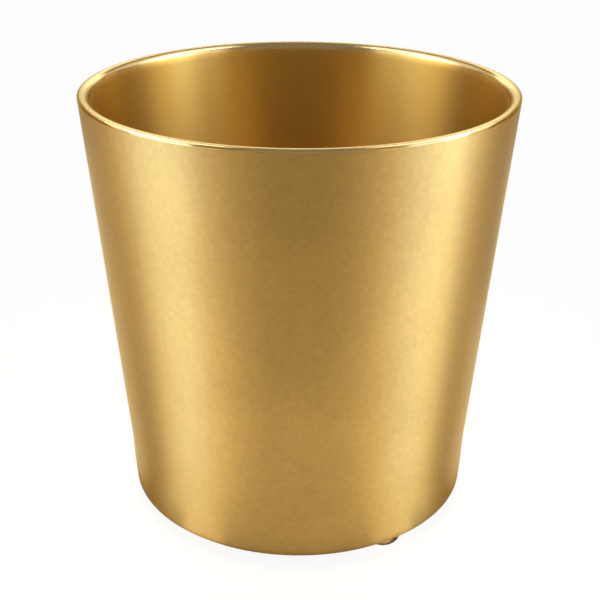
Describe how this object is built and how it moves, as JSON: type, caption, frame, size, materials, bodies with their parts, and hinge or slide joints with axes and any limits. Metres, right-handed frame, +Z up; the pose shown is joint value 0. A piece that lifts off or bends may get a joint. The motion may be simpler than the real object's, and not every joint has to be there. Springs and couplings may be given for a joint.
{
  "type": "plant pot",
  "caption": "Round tapered plant pot in satin brass-coloured sheet metal, with a double wall, a rounded rim, a pressed base pan and low bumper feet.",
  "frame": {"origin": "on the ground under the pot's middle, level with the soles of the feet", "axes": "+Z up along the pot's axis, -Y towards the side that the picture shows as the front"},
  "size_m": [0.17, 0.17, 0.1745],
  "materials": {
    "shell_brass": "satin, with a fine mottled grain under a clear lacquer",
    "liner_brass": "smooth satin",
    "pan_brass": "satin",
    "foot_rubber": "glossy, soft"
  },
  "bodies": {
    "root": {"outer_shell": "shell_brass", "inner_liner": "liner_brass", "base_pan": "pan_brass", "foot_1": "foot_rubber", "foot_2": "foot_rubber", "foot_3": "foot_rubber"}
  },
  "joints": []
}
